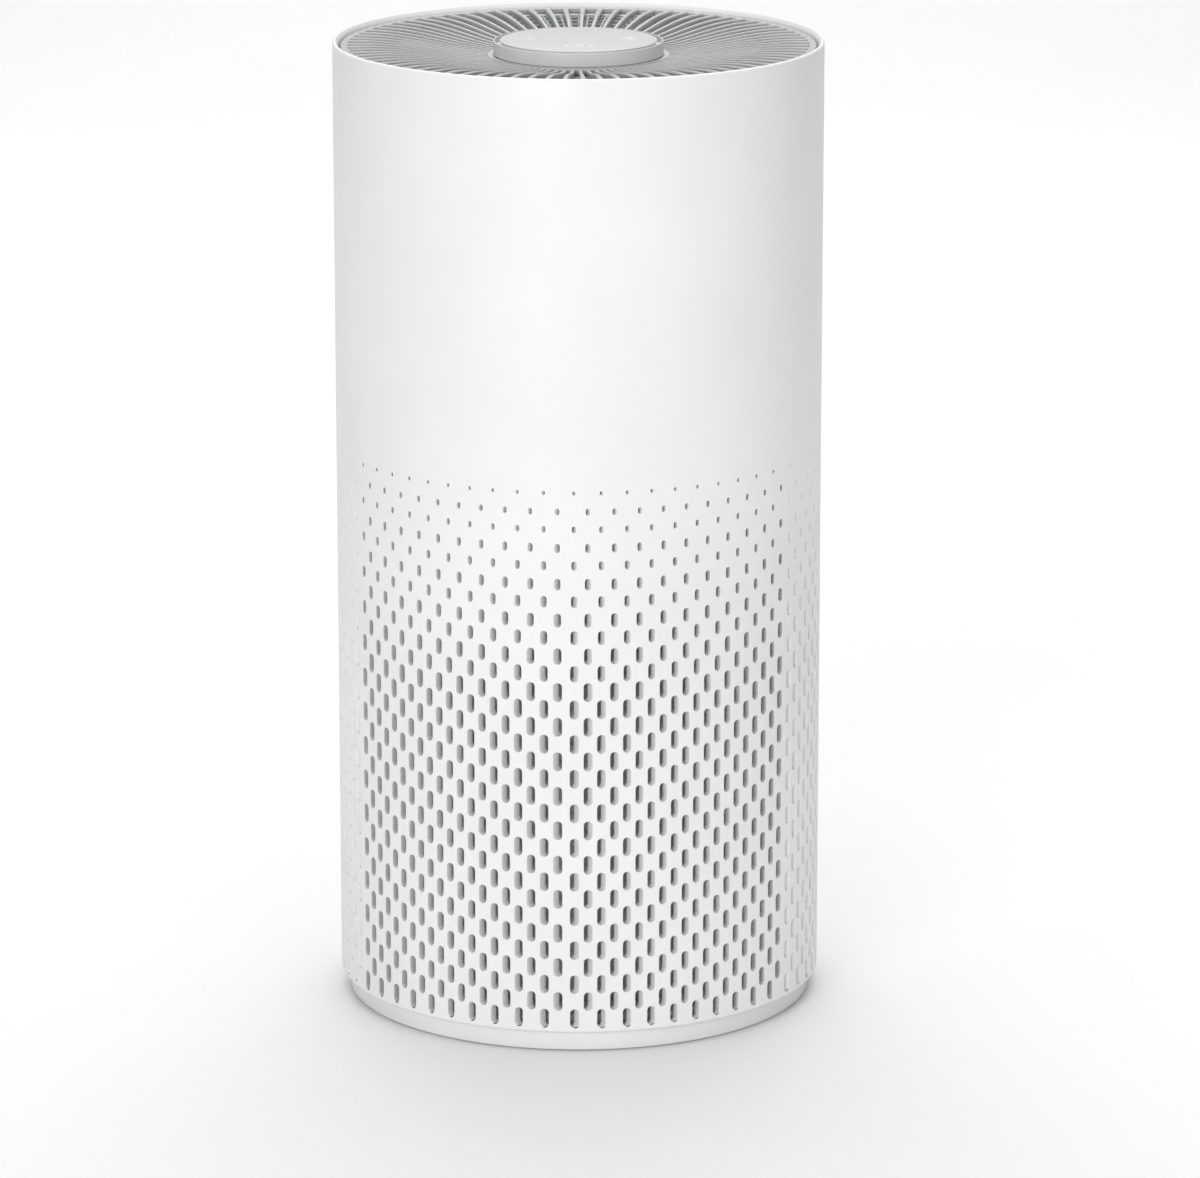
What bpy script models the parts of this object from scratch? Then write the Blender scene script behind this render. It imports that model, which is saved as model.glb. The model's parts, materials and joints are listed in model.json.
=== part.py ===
"""A round tower air purifier: perforated shell, twist-off base, drum filter, centrifugal fan and top grille.

Air enters through the perforated lower half of the shell, crosses the drum filter from outside to inside,
is drawn up through the deck by the impeller, straightened by the diffuser and blown out of the top grille.
The base cover stands on the floor. Turning the body on it frees the bayonet, and the body then lifts off.
Lengths are metres, +Z is up, and the origin is on the floor at the middle of the base. The front faces -Y.
"""

import math

import bmesh
import bpy
from mathutils import Matrix, Vector

MM = 0.001

# Driving dimensions
HEIGHT = 440 * MM
SHELL_RADIUS = 110 * MM
WALL = 2.5 * MM
GRID_WALL = 4.2 * MM
FIT_GAP = 0.3 * MM
SHELL_BOTTOM = 9.8 * MM
DECK_UNDERSIDE = 263.2 * MM
FILTER_RADIUS = 97 * MM
FILTER_BOTTOM = 10.2 * MM
FILTER_TOP = 255.8 * MM
IMPELLER_RADIUS = 74.5 * MM
SHAFT_RADIUS = 4 * MM
PUCK_RADIUS = 38 * MM
HUB_TOP = 433.5 * MM
RIM_TOP = 438.8 * MM
VANE_DEPTH = 5 * MM
SCREEN_DROP = 0.9 * MM
INLET_HEIGHT = 277 * MM
PIN_OFFSET = 4.3 * MM
HARNESS_LEVEL = 418.5 * MM

# Bayonet between the base cover and the shell
LUGS = 6
LUG_WIDTH_DEG = 14
NOTCH_WIDTH_DEG = 18
TWIST_DEG = 20

# Counts of repeated features
SLOT_COLUMNS = 16
GRILLE_VANES = 32
PLEATS = 40
IMPELLER_BLADES = 9
DIFFUSER_VANES = 11
STATOR_TEETH = 9
FEET = 4
DECK_SCREWS = 4
PUCK_SCREWS = 3

SHELL_INSIDE = SHELL_RADIUS - WALL
FULL_TURN = 2 * math.pi


# ---------------------------------------------------------------- scene and materials

for old in list(bpy.data.objects):
    bpy.data.objects.remove(old)


def finish(name, colour, roughness, metallic=0.0):
    """A plain Principled material."""
    made = bpy.data.materials.new(name)
    made.use_nodes = True
    shader = made.node_tree.nodes["Principled BSDF"]
    shader.inputs["Base Color"].default_value = (*colour, 1)
    shader.inputs["Roughness"].default_value = roughness
    shader.inputs["Metallic"].default_value = metallic
    return made


WHITE = finish("white_plastic", (0.86, 0.86, 0.86), 0.45)
BASE_WHITE = finish("base_plastic", (0.80, 0.80, 0.80), 0.5)
GRILLE_WHITE = finish("grille_plastic", (0.70, 0.71, 0.71), 0.45)
PUCK_GREY = finish("puck_plastic", (0.66, 0.67, 0.67), 0.4)
LENS_GREY = finish("lens_plastic", (0.74, 0.75, 0.75), 0.25)
LIGHT_GUIDE = finish("light_guide", (0.9, 0.9, 0.88), 0.3)
INNER_WHITE = finish("inner_plastic", (0.62, 0.63, 0.63), 0.55)
FAN_GREY = finish("fan_plastic", (0.16, 0.17, 0.18), 0.45)
RUBBER = finish("foot_rubber", (0.12, 0.12, 0.12), 0.85)
FOAM = finish("seal_foam", (0.08, 0.08, 0.085), 0.95)
PAPER = finish("filter_paper", (0.83, 0.83, 0.80), 0.9)
MESH = finish("prefilter_net", (0.55, 0.56, 0.57), 0.85)
CARBON = finish("carbon_granules", (0.03, 0.03, 0.032), 0.8)
RIBBON = finish("pull_ribbon", (0.15, 0.3, 0.55), 0.85)
STEEL = finish("steel", (0.62, 0.62, 0.63), 0.3, 1.0)
DARK_STEEL = finish("dark_steel", (0.2, 0.2, 0.21), 0.4, 1.0)
IRON = finish("stator_iron", (0.3, 0.29, 0.28), 0.5, 1.0)
MAGNET = finish("ferrite_magnet", (0.09, 0.09, 0.095), 0.6)
COPPER = finish("copper_winding", (0.72, 0.36, 0.18), 0.35, 1.0)
BRASS = finish("pin_brass", (0.75, 0.62, 0.35), 0.25, 1.0)
BOARD = finish("circuit_board", (0.03, 0.22, 0.1), 0.45)
CABLE = finish("cable_jacket", (0.5, 0.5, 0.5), 0.6)


# ---------------------------------------------------------------- makers


def placed(name, mesh_data, material, smooth_deg=32):
    """Turns a finished bmesh into a named object of its own."""
    bmesh.ops.recalc_face_normals(mesh_data, faces=mesh_data.faces)
    data = bpy.data.meshes.new(name)
    mesh_data.to_mesh(data)
    mesh_data.free()
    data.shade_smooth()
    data.set_sharp_from_angle(angle=math.radians(smooth_deg))
    made = bpy.data.objects.new(name, data)
    bpy.context.scene.collection.objects.link(made)
    if material is not None:
        data.materials.append(material)
    return made


def polar(radius, angle, height):
    return Vector((radius * math.cos(angle), radius * math.sin(angle), height))


def turned(name, outline_mm, material, steps=36):
    """A solid of revolution about Z. The outline is a closed ring of (radius, height) in millimetres."""
    bm = bmesh.new()
    verts = [bm.verts.new((r * MM, 0, z * MM)) for r, z in outline_mm]
    edges = []
    for first, second in zip(verts, verts[1:] + verts[:1]):
        on_axis = first.co.x == 0 and second.co.x == 0
        if not on_axis:
            edges.append(bm.edges.new((first, second)))
    bmesh.ops.spin(
        bm, geom=verts + edges, cent=(0, 0, 0), axis=(0, 0, 1), angle=FULL_TURN, steps=steps, use_merge=True
    )
    bmesh.ops.remove_doubles(bm, verts=bm.verts, dist=1e-6)
    return placed(name, bm, material)


def band(name, inner, outer, low, high, angles, material):
    """A closed ring between two outlines, each a function that gives the radius at an angle."""
    bm = bmesh.new()
    rings = []
    for angle in angles:
        corners = [(inner(angle), low), (outer(angle), low), (outer(angle), high), (inner(angle), high)]
        rings.append([bm.verts.new(polar(r, angle, z)) for r, z in corners])
    for ring, following in zip(rings, rings[1:] + rings[:1]):
        for side in range(4):
            after = (side + 1) % 4
            bm.faces.new((ring[side], following[side], following[after], ring[after]))
    return placed(name, bm, material)


def even_angles(count):
    return [FULL_TURN * step / count for step in range(count)]


def sleeve(name, inner, outer, low, high, material, steps=36):
    return band(name, lambda a: inner, lambda a: outer, low, high, even_angles(steps), material)


def prism(name, outline, low, high, material):
    """An upright prism on a closed outline of (x, y) points."""
    bm = bmesh.new()
    floor = bm.faces.new([bm.verts.new((x, y, low)) for x, y in outline])
    raised = bmesh.ops.extrude_face_region(bm, geom=[floor])
    moved = [v for v in raised["geom"] if isinstance(v, bmesh.types.BMVert)]
    bmesh.ops.translate(bm, verts=moved, vec=(0, 0, high - low))
    return placed(name, bm, material)


def disc_outline(radius, sides, centre=(0, 0), start=0.0):
    return [
        (centre[0] + radius * math.cos(start + a), centre[1] + radius * math.sin(start + a))
        for a in even_angles(sides)
    ]


def rod(name, radius, low, high, material, centre=(0, 0), sides=16):
    return prism(name, disc_outline(radius, sides, centre), low, high, material)


def block(bm, size, centre, turn=0.0):
    """Adds a box to a bmesh, turned about the Z axis of the whole object."""
    where = Matrix.Rotation(turn, 4, "Z") @ Matrix.Translation(centre) @ Matrix.Diagonal((*size, 1))
    bmesh.ops.create_cube(bm, size=1, matrix=where)


def pillar(bm, radius, low, high, centre, sides=12):
    """Adds an upright cylinder to a bmesh."""
    where = Matrix.Translation((centre[0], centre[1], (low + high) / 2))
    bmesh.ops.create_cone(
        bm, cap_ends=True, segments=sides, radius1=radius, radius2=radius, depth=high - low, matrix=where
    )


def wheel(name, hub, rim, spokes, width, top, depth, material, sweep_deg=0.0, arc_steps=1, start_deg=0.0):
    """A hub ring and a rim ring joined by spokes. top gives the height of the upper face at a radius."""
    bm = bmesh.new()
    radii = [hub[0], hub[1], (hub[1] + rim[0]) / 2, rim[0], rim[1]]
    last = len(radii) - 1
    lines = []
    for index, radius in enumerate(radii):
        edge_radius = min(max(radius, hub[1]), rim[0])
        half = math.asin(width / 2 / edge_radius)
        share = (edge_radius - hub[1]) / (rim[0] - hub[1])
        pitch = FULL_TURN / spokes
        line = []
        for spoke in range(spokes):
            middle = math.radians(start_deg + sweep_deg * share) + pitch * spoke
            angles = [middle - half, middle + half]
            on_ring = index in (0, 1, last - 1, last)
            for step in range(1, arc_steps) if on_ring else ():
                angles.append(middle + half + (pitch - 2 * half) * step / arc_steps)
            line.append([bm.verts.new(polar(radius, a, top(radius))) for a in angles])
        lines.append(line)
    for index in range(last):
        near, far = lines[index], lines[index + 1]
        for spoke in range(spokes):
            bm.faces.new((near[spoke][0], far[spoke][0], far[spoke][1], near[spoke][1]))
            if index in (0, last - 1):
                after = (spoke + 1) % spokes
                near_arc = near[spoke][1:] + near[after][:1]
                far_arc = far[spoke][1:] + far[after][:1]
                for step in range(arc_steps):
                    bm.faces.new((near_arc[step], far_arc[step], far_arc[step + 1], near_arc[step + 1]))
    lowered = bmesh.ops.extrude_face_region(bm, geom=list(bm.faces))
    moved = [v for v in lowered["geom"] if isinstance(v, bmesh.types.BMVert)]
    bmesh.ops.translate(bm, verts=moved, vec=(0, 0, -depth))
    return placed(name, bm, material)


def guide(name, bm):
    """A hidden operand for a Boolean."""
    made = placed(name, bm, None)
    made.hide_render = True
    made.display_type = "WIRE"
    return made


def cut(target, cutter):
    change = target.modifiers.new("cut", "BOOLEAN")
    change.operation = "DIFFERENCE"
    change.object = cutter


def join(target, piece):
    change = target.modifiers.new("join", "BOOLEAN")
    change.operation = "UNION"
    change.object = piece


def around(count, radius, start_deg=0.0):
    """Places evenly round the axis, as (x, y)."""
    for angle in even_angles(count):
        turn = angle + math.radians(start_deg)
        yield radius * math.cos(turn), radius * math.sin(turn)


# ---------------------------------------------------------------- base


def make_base():
    """The twist-off base cover with its bayonet lugs, the rubber feet and the foam ring under the filter."""
    foot = SHELL_BOTTOM / MM
    rim, rim_top, collar_outer, collar_top = 105.8, foot - 0.5, 100.2, foot + 5.5
    cover = turned(
        "base_cover",
        [
            (0, 3), (100.9, 3), (100.9, 0.5), (rim - 0.6, 0.5), (rim, 1.1), (rim, rim_top),
            (collar_outer, rim_top), (collar_outer, collar_top), (97.8, collar_top), (97.8, 5), (0, 5),
        ],
        BASE_WHITE,
        steps=48,
    )
    lugs = bmesh.new()
    lug_length = 2 * 102 * MM * math.sin(math.radians(LUG_WIDTH_DEG / 2))
    for angle in even_angles(LUGS):
        block(lugs, (4.6 * MM, lug_length, 2.4 * MM), (101.1 * MM, 0, SHELL_BOTTOM + 4.2 * MM), angle)
    join(cover, guide("lug_guide", lugs))
    for number, (x, y) in enumerate(around(FEET, 84 * MM, 45), 1):
        rod(f"foot_pad_{number}", 9 * MM, 0, 2.7 * MM, RUBBER, (x, y), sides=20)
    sleeve("base_foam_ring", 62 * MM, 92 * MM, 5.3 * MM, 9.8 * MM, FOAM, steps=30)


# ---------------------------------------------------------------- filter


def make_filter():
    """The drum filter: end caps, pleated paper, pre-filter net, carbon core, ribbon and gasket."""
    low, high = FILTER_BOTTOM / MM, FILTER_TOP / MM
    outer, inner, skirt = FILTER_RADIUS / MM, 49, 1.4
    for name, face, way in (("filter_lower_cap", low, 1), ("filter_upper_cap", high, -1)):
        plate, edge = face + 3 * way, face + 9.8 * way
        turned(
            name,
            [
                (inner, face), (outer, face), (outer, edge), (outer - skirt, edge),
                (outer - skirt, plate), (inner + skirt, plate), (inner + skirt, edge), (inner, edge),
            ],
            INNER_WHITE,
        )
    media_low, media_high = FILTER_BOTTOM + 3.3 * MM, FILTER_TOP - 3.3 * MM
    sleeve("prefilter_mesh", 93.4 * MM, 94.9 * MM, media_low, media_high, MESH)
    sleeve("carbon_core", 50.8 * MM, 55.5 * MM, media_low, media_high, CARBON)
    crest, valley, sheet = 92.6 * MM, 58.2 * MM, 1.2 * MM
    folds = even_angles(2 * PLEATS)
    crests = {angle: index % 2 == 0 for index, angle in enumerate(folds)}
    band(
        "hepa_pleats",
        lambda a: (crest if crests[a] else valley) - 2 * sheet,
        lambda a: crest if crests[a] else valley,
        media_low,
        media_high,
        folds,
        PAPER,
    )
    ribbon = bmesh.new()
    block(ribbon, (114 * MM, 20 * MM, 1 * MM), (0, 0, FILTER_BOTTOM - 0.8 * MM))
    placed("filter_pull_tab", ribbon, RIBBON)
    seal_low, seal_high = FILTER_TOP + FIT_GAP, DECK_UNDERSIDE - FIT_GAP
    sleeve("filter_top_gasket", 62 * MM, 90 * MM, seal_low, seal_high, FOAM, steps=30)


# ---------------------------------------------------------------- shell


def shell_slots():
    """Cutters for the air slots, in staggered columns, and for the opening of the power inlet."""
    bm = bmesh.new()
    pitch = 62 * MM
    for column in range(SLOT_COLUMNS):
        even = column % 2 == 0
        first = 43 * MM if even else 74 * MM
        for row in range(4 if even else 3):
            place = (SHELL_RADIUS, 0, first + pitch * row)
            block(bm, (12 * MM, 10 * MM, 48 * MM), place, FULL_TURN * (column + 0.5) / SLOT_COLUMNS)
    block(bm, (12 * MM, 23 * MM, 13 * MM), (SHELL_RADIUS, 0, INLET_HEIGHT), math.radians(90))
    return bm


def make_shell():
    """The one-piece shell, thicker where it has air slots, and the notched bayonet ring in its foot."""
    out, wall_in, bottom, top = SHELL_RADIUS / MM, SHELL_INSIDE / MM, SHELL_BOTTOM / MM, HEIGHT / MM
    grid_in, grid_low = (SHELL_RADIUS - GRID_WALL) / MM, bottom + 2.8
    ledge_in, ledge_top = 103.5, DECK_UNDERSIDE / MM - 0.3
    shell = turned(
        "outer_shell",
        [
            (out, bottom + 1.2), (out, top - 0.9), (out - 0.9, top), (wall_in + 0.6, top),
            (wall_in, top - 0.6), (wall_in, ledge_top), (ledge_in, ledge_top), (ledge_in, ledge_top - 1.5),
            (grid_in, ledge_top - 3), (grid_in, grid_low), (wall_in, grid_low), (wall_in, bottom),
            (out - 1.2, bottom),
        ],
        WHITE,
        steps=48,
    )
    cut(shell, guide("slot_guide", shell_slots()))
    notch_half = math.radians(NOTCH_WIDTH_DEG / 2)
    step = FULL_TURN / LUGS
    tab, notch = 100.8 * MM, 104.8 * MM
    shapes = []
    for number in range(LUGS):
        middle = step * number
        shapes += [(middle - notch_half - 1e-4, tab), (middle - notch_half, notch), (middle, notch)]
        shapes += [(middle + notch_half, notch), (middle + notch_half + 1e-4, tab)]
        land = step - 2 * notch_half
        shapes += [(middle + notch_half + land * share / 4, tab) for share in (1, 2, 3)]
    inner_at = dict(shapes)
    ring = band(
        "bayonet_ring",
        lambda a: inner_at[a],
        lambda a: SHELL_INSIDE - FIT_GAP,
        SHELL_BOTTOM + 0.3 * MM,
        SHELL_BOTTOM + 2.5 * MM,
        sorted(inner_at),
        INNER_WHITE,
    )
    stops = bmesh.new()
    stop_width = 5 * MM
    reach = math.radians(TWIST_DEG + LUG_WIDTH_DEG / 2) + (stop_width / 2 + 0.5 * MM) / (103 * MM)
    for angle in even_angles(LUGS):
        block(stops, (3 * MM, stop_width, 3 * MM), (103 * MM, 0, SHELL_BOTTOM + 3.5 * MM), angle - reach)
    join(ring, guide("stop_guide", stops))


# ---------------------------------------------------------------- fan


def make_air_path():
    """Deck with its bell mouth, finger guard, fan housing, diffuser and outlet duct."""
    floor = DECK_UNDERSIDE / MM
    deck_edge = SHELL_INSIDE / MM - 0.3
    deck = turned(
        "fan_deck",
        [
            (60, floor), (deck_edge, floor), (deck_edge, floor + 3), (66, floor + 3), (63.2, floor + 4.8),
            (62, floor + 8.4), (60, floor + 8.4),
        ],
        INNER_WHITE,
    )
    housing = turned(
        "fan_housing",
        [(86, floor + 3.3), (97, floor + 3.3), (97, floor + 5.3), (88, floor + 5.3), (88, 358), (86, 358)],
        INNER_WHITE,
    )
    holes = bmesh.new()
    for x, y in around(DECK_SCREWS, 92 * MM, 45):
        pillar(holes, 1.8 * MM, DECK_UNDERSIDE - 2 * MM, DECK_UNDERSIDE + 8 * MM, (x, y), sides=8)
    hole_guide = guide("deck_hole_guide", holes)
    cut(deck, hole_guide)
    cut(housing, hole_guide)
    for number, (x, y) in enumerate(around(DECK_SCREWS, 92 * MM, 45), 1):
        screw(f"deck_screw_{number}", (x, y), DECK_UNDERSIDE + 0.6 * MM, DECK_UNDERSIDE + 5.6 * MM, 1.5 * MM)
    wheel(
        "inlet_guard", (5 * MM, 9 * MM), (56.5 * MM, 59.7 * MM), 6, 2 * MM,
        lambda r: DECK_UNDERSIDE + 3 * MM, 2.2 * MM, INNER_WHITE, arc_steps=4,
    )
    wheel(
        "diffuser", (40.4 * MM, 42.3 * MM), (83.2 * MM, 85.2 * MM), DIFFUSER_VANES, 1.8 * MM,
        lambda r: 352 * MM, 30 * MM, INNER_WHITE, sweep_deg=18, arc_steps=2,
    )
    duct = turned("outlet_duct", [(86, 358.3), (88, 358.3), (103, 425.5), (101, 425.5)], INNER_WHITE)
    passage = bmesh.new()
    block(passage, (8 * MM, 6 * MM, 6 * MM), (100.7 * MM, 0, HARNESS_LEVEL), math.radians(90))
    cut(duct, guide("harness_hole_guide", passage))


def screw(name, centre, low, high, radius, head_up=True):
    """A machine screw: a plain shank and a round head with a cross recess."""
    head_radius, head_height = 2.1 * radius, 1.3 * radius
    if head_up:
        head_low, head_high = high, high + head_height
    else:
        head_low, head_high = low - head_height, low
    shank = rod(name, radius, low, high, STEEL, centre, sides=10)
    head = bmesh.new()
    overlap = 0.3 * MM
    grip_low = head_low - (overlap if head_up else 0)
    grip_high = head_high + (0 if head_up else overlap)
    pillar(head, head_radius, grip_low, grip_high, centre, sides=14)
    join(shank, guide(name + "_head_guide", head))


def blade_outline(turn):
    """The plan of one backward-curved impeller blade."""
    inner, outer = 38 * MM, IMPELLER_RADIUS - 0.6 * MM
    lean, thickness, steps = math.radians(42), 1.6 * MM, 4
    line = []
    for step in range(steps + 1):
        share = step / steps
        radius = inner + (outer - inner) * share
        line.append((radius, turn - lean * share**1.2))
    front = [(r * math.cos(a), r * math.sin(a)) for r, a in line]
    back = [(r * math.cos(a + thickness / r), r * math.sin(a + thickness / r)) for r, a in line]
    return front + back[::-1]


def make_rotor():
    """Everything that spins: impeller, nut, shaft, motor bell and magnet ring."""
    edge = IMPELLER_RADIUS / MM
    impeller = turned(
        "impeller",
        [(4.3, 299.3), (11, 299.3), (11, 308), (edge, 308), (edge, 310.5), (11, 310.5), (11, 314), (4.3, 314)],
        FAN_GREY,
    )
    blades = bmesh.new()
    for angle in even_angles(IMPELLER_BLADES):
        foot = blades.faces.new([blades.verts.new((x, y, 274 * MM)) for x, y in blade_outline(angle)])
        raised = bmesh.ops.extrude_face_region(blades, geom=[foot])
        moved = [v for v in raised["geom"] if isinstance(v, bmesh.types.BMVert)]
        bmesh.ops.translate(blades, verts=moved, vec=(0, 0, 35 * MM))
    join(impeller, guide("blade_guide", blades))
    shroud = sleeve("shroud_guide", 63.5 * MM, IMPELLER_RADIUS, 272.5 * MM, 275 * MM, None)
    shroud.hide_render = True
    shroud.display_type = "WIRE"
    join(impeller, shroud)
    nut = prism("impeller_nut", disc_outline(7 * MM, 6), 294 * MM, 299 * MM, STEEL)
    bore = bmesh.new()
    pillar(bore, SHAFT_RADIUS + FIT_GAP, 290 * MM, 303 * MM, (0, 0), sides=24)
    cut(nut, guide("nut_bore_guide", bore))
    rod("motor_shaft", SHAFT_RADIUS, 291 * MM, 343 * MM, STEEL, sides=24)
    turned(
        "rotor_bell",
        [(4.3, 314.3), (27, 314.3), (27, 338), (25, 338), (25, 316.3), (4.3, 316.3)],
        DARK_STEEL,
        steps=24,
    )
    sleeve("rotor_magnets", 22.4 * MM, 24.5 * MM, 318 * MM, 336 * MM, MAGNET, steps=24)


def make_motor():
    """The fixed half of the outer-rotor motor: mount, bearings, stator core, winding and the cap above."""
    turned(
        "motor_mount",
        [(6.8, 317.5), (9.2, 317.5), (9.2, 341), (40, 341), (40, 344), (6.8, 344)],
        INNER_WHITE,
        steps=24,
    )
    for name, low in (("motor_bearing_lower", 318), ("motor_bearing_upper", 335)):
        sleeve(name, SHAFT_RADIUS + 0.05 * MM, 6.5 * MM, low * MM, (low + 5) * MM, STEEL, steps=24)
    core_low, core_high = 319 * MM, 335 * MM
    arm = 3.4 * MM
    wheel(
        "motor_stator", (9.5 * MM, 12.8 * MM), (19.2 * MM, 21.9 * MM), STATOR_TEETH, arm,
        lambda r: core_high, core_high - core_low, IRON, arc_steps=2,
    )
    coil_low, coil_high = core_low - 1.8 * MM, core_high + 1.8 * MM
    winding = sleeve("stator_winding", 13.2 * MM, 18.8 * MM, coil_low, coil_high, COPPER, steps=18)
    gaps = bmesh.new()
    for angle in even_angles(STATOR_TEETH):
        size = (10 * MM, arm + 0.7 * MM, core_high - core_low + 0.6 * MM)
        block(gaps, size, (16 * MM, 0, (core_low + core_high) / 2), angle)
    cut(winding, guide("tooth_gap_guide", gaps))
    turned(
        "motor_cap",
        [
            (40, 344.3), (40, 352), (36, 363), (24, 370.5), (0, 373.5),
            (0, 371.5), (23.2, 368.5), (34.4, 361.6), (38, 351.6), (38, 344.3),
        ],
        INNER_WHITE,
        steps=24,
    )


# ---------------------------------------------------------------- top


def dish(radius):
    """Height of the grille's upper face: a shallow dish, lowest at the hub and level again near the rim."""
    share = min(max((radius - 40.8 * MM) / ((95 - 40.8) * MM), 0), 1)
    return HUB_TOP + (RIM_TOP - HUB_TOP) * share**2 * (3 - 2 * share)


def make_top():
    """Outlet screen and grille, and the control puck on the grille's hub."""
    wheel(
        "outlet_screen", (34.6 * MM, 37.6 * MM), (97.4 * MM, 99.9 * MM), 12, 1.6 * MM,
        lambda r: dish(r) - VANE_DEPTH - SCREEN_DROP, 1 * MM, INNER_WHITE, arc_steps=2, start_deg=15,
    )
    grille = wheel(
        "outlet_grille", (26 * MM, 40.8 * MM), (103.3 * MM, 106.4 * MM), GRILLE_VANES, 1.8 * MM,
        dish, VANE_DEPTH, GRILLE_WHITE,
    )
    puck = PUCK_RADIUS / MM
    hub = HUB_TOP / MM
    top = HEIGHT / MM
    housing = turned(
        "puck_housing",
        [
            (0, 412), (25.6, 412), (25.6, hub + 0.3), (puck, hub + 0.3), (puck, top - 1.2),
            (puck - 1.2, top - 0.2), (35.9, top - 0.2), (35.9, 437.1), (23.6, 437.1), (23.6, 414), (0, 414),
        ],
        PUCK_GREY,
    )
    holes = bmesh.new()
    for x, y in around(PUCK_SCREWS, 31 * MM, 90):
        pillar(holes, 1.5 * MM, HUB_TOP - 8 * MM, HUB_TOP + 2.2 * MM, (x, y), sides=8)
    hole_guide = guide("puck_hole_guide", holes)
    cut(grille, hole_guide)
    cut(housing, hole_guide)
    for number, (x, y) in enumerate(around(PUCK_SCREWS, 31 * MM, 90), 1):
        screw(f"puck_screw_{number}", (x, y), HUB_TOP - 5.3 * MM, HUB_TOP + 1.9 * MM, 1.2 * MM, head_up=False)
    notch = bmesh.new()
    block(notch, (6 * MM, 5 * MM, 5 * MM), (25 * MM, 0, HARNESS_LEVEL), math.radians(90))
    cut(housing, guide("puck_notch_guide", notch))
    turned("puck_lens", [(0, 437.4), (35.6, 437.4), (35.6, top - 0.4), (35.1, top), (0, top)], LENS_GREY)
    rod("icon_light_guide", 21 * MM, 432.6 * MM, 437.1 * MM, LIGHT_GUIDE, sides=32)
    rod("control_board", 23 * MM, 430.6 * MM, 432.2 * MM, BOARD, sides=32)


# ---------------------------------------------------------------- electrics


def make_electrics():
    """Power inlet, mains lead, driver board on its bracket and the harness to the controls. Rear side."""
    bracket_face, reach, leg = 96.2 * MM, 85.9 * MM, 24 * MM
    outline = [
        (-leg, reach), (-leg + 2 * MM, reach), (-leg + 2 * MM, bracket_face - 2 * MM),
        (leg - 2 * MM, bracket_face - 2 * MM), (leg - 2 * MM, reach), (leg, reach),
        (leg, bracket_face), (-leg, bracket_face),
    ]
    prism("board_bracket", outline, 290 * MM, 350 * MM, INNER_WHITE)
    board = bmesh.new()
    block(board, (48 * MM, 1.6 * MM, 54 * MM), (0, 97.3 * MM, 320 * MM))
    placed("main_board", board, BOARD)

    nose, flange = bmesh.new(), bmesh.new()
    block(nose, (22 * MM, 14.5 * MM, 12 * MM), (0, 101.75 * MM, INLET_HEIGHT))
    block(flange, (28 * MM, 2.4 * MM, 15 * MM), (0, 103.4 * MM, INLET_HEIGHT))
    inlet = placed("power_inlet", nose, FAN_GREY)
    join(inlet, guide("inlet_flange_guide", flange))
    socket, pin_bores = bmesh.new(), bmesh.new()
    block(socket, (17.6 * MM, 14 * MM, 8.4 * MM), (0, 104.5 * MM, INLET_HEIGHT))
    for side in (-1, 1):
        block(pin_bores, (3 * MM, 12 * MM, 3 * MM), (side * PIN_OFFSET, 96 * MM, INLET_HEIGHT))
    cut(inlet, guide("socket_guide", socket))
    cut(inlet, guide("pin_bore_guide", pin_bores))
    pin_radius, pin_length = 1.15 * MM, 14 * MM
    for number, side in enumerate((-1, 1), 1):
        pin = bmesh.new()
        place = Matrix.Translation((side * PIN_OFFSET, 99.5 * MM, INLET_HEIGHT))
        bmesh.ops.create_cone(
            pin, cap_ends=True, segments=12, radius1=pin_radius, radius2=pin_radius, depth=pin_length,
            matrix=place @ Matrix.Rotation(math.radians(90), 4, "X"),
        )
        placed(f"inlet_pin_{number}", pin, BRASS)
    lead = [(10, 98.2, 283.4), (10.2, 98.6, 286), (9.8, 98.7, 289), (9.4, 98.2, 292.6)]
    cable("mains_lead", lead, 1.4, 6)
    harness = [
        (0, 99.6, 347.5), (0, 101.6, 351), (0, 103.8, 358), (0, 104.9, 370), (0, 105.2, 388), (0, 105.2, 404),
        (0, 104.8, 412), (0, 103, 416.6), (0, 99.8, 418.3), (0, 94, 418.5), (0, 76, 418.2), (0, 56, 418),
        (0, 40, 418.2), (0, 26, 418.5),
    ]
    cable("control_harness", harness, 1.3, 20)


def smooth_route(points, count):
    """Even samples of a Catmull-Rom curve through the points, from the first to the last."""
    padded = [2 * points[0] - points[1], *points, 2 * points[-1] - points[-2]]
    samples = []
    for index in range(count + 1):
        place = index / count * (len(points) - 1)
        span = min(int(place), len(points) - 2)
        t = place - span
        a, b, c, d = padded[span : span + 4]
        curve = (2 * a - 5 * b + 4 * c - d) * t**2 + (3 * b - a - 3 * c + d) * t**3
        samples.append(0.5 * (2 * b + (c - a) * t + curve))
    return samples


def cable(name, route_mm, radius_mm, count):
    """A round lead along a smooth route, as a curve with a bevel and filled caps."""
    data = bpy.data.curves.new(name, "CURVE")
    data.dimensions = "3D"
    data.bevel_depth = radius_mm * MM
    data.bevel_resolution = 2
    data.use_fill_caps = True
    points = smooth_route([Vector(p) * MM for p in route_mm], count)
    spline = data.splines.new("POLY")
    spline.points.add(len(points) - 1)
    for target, point in zip(spline.points, points):
        target.co = (*point, 1)
    data.materials.append(CABLE)
    made = bpy.data.objects.new(name, data)
    bpy.context.scene.collection.objects.link(made)


make_base()
make_filter()
make_shell()
make_air_path()
make_rotor()
make_motor()
make_top()
make_electrics()
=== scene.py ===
"""Looks of a round tower air purifier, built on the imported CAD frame.

Lengths in the makers are millimetres and become metres in piece(). Angles on the shell are measured from
the front, -Y, and grow towards +X.
"""

import json
import math

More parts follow.
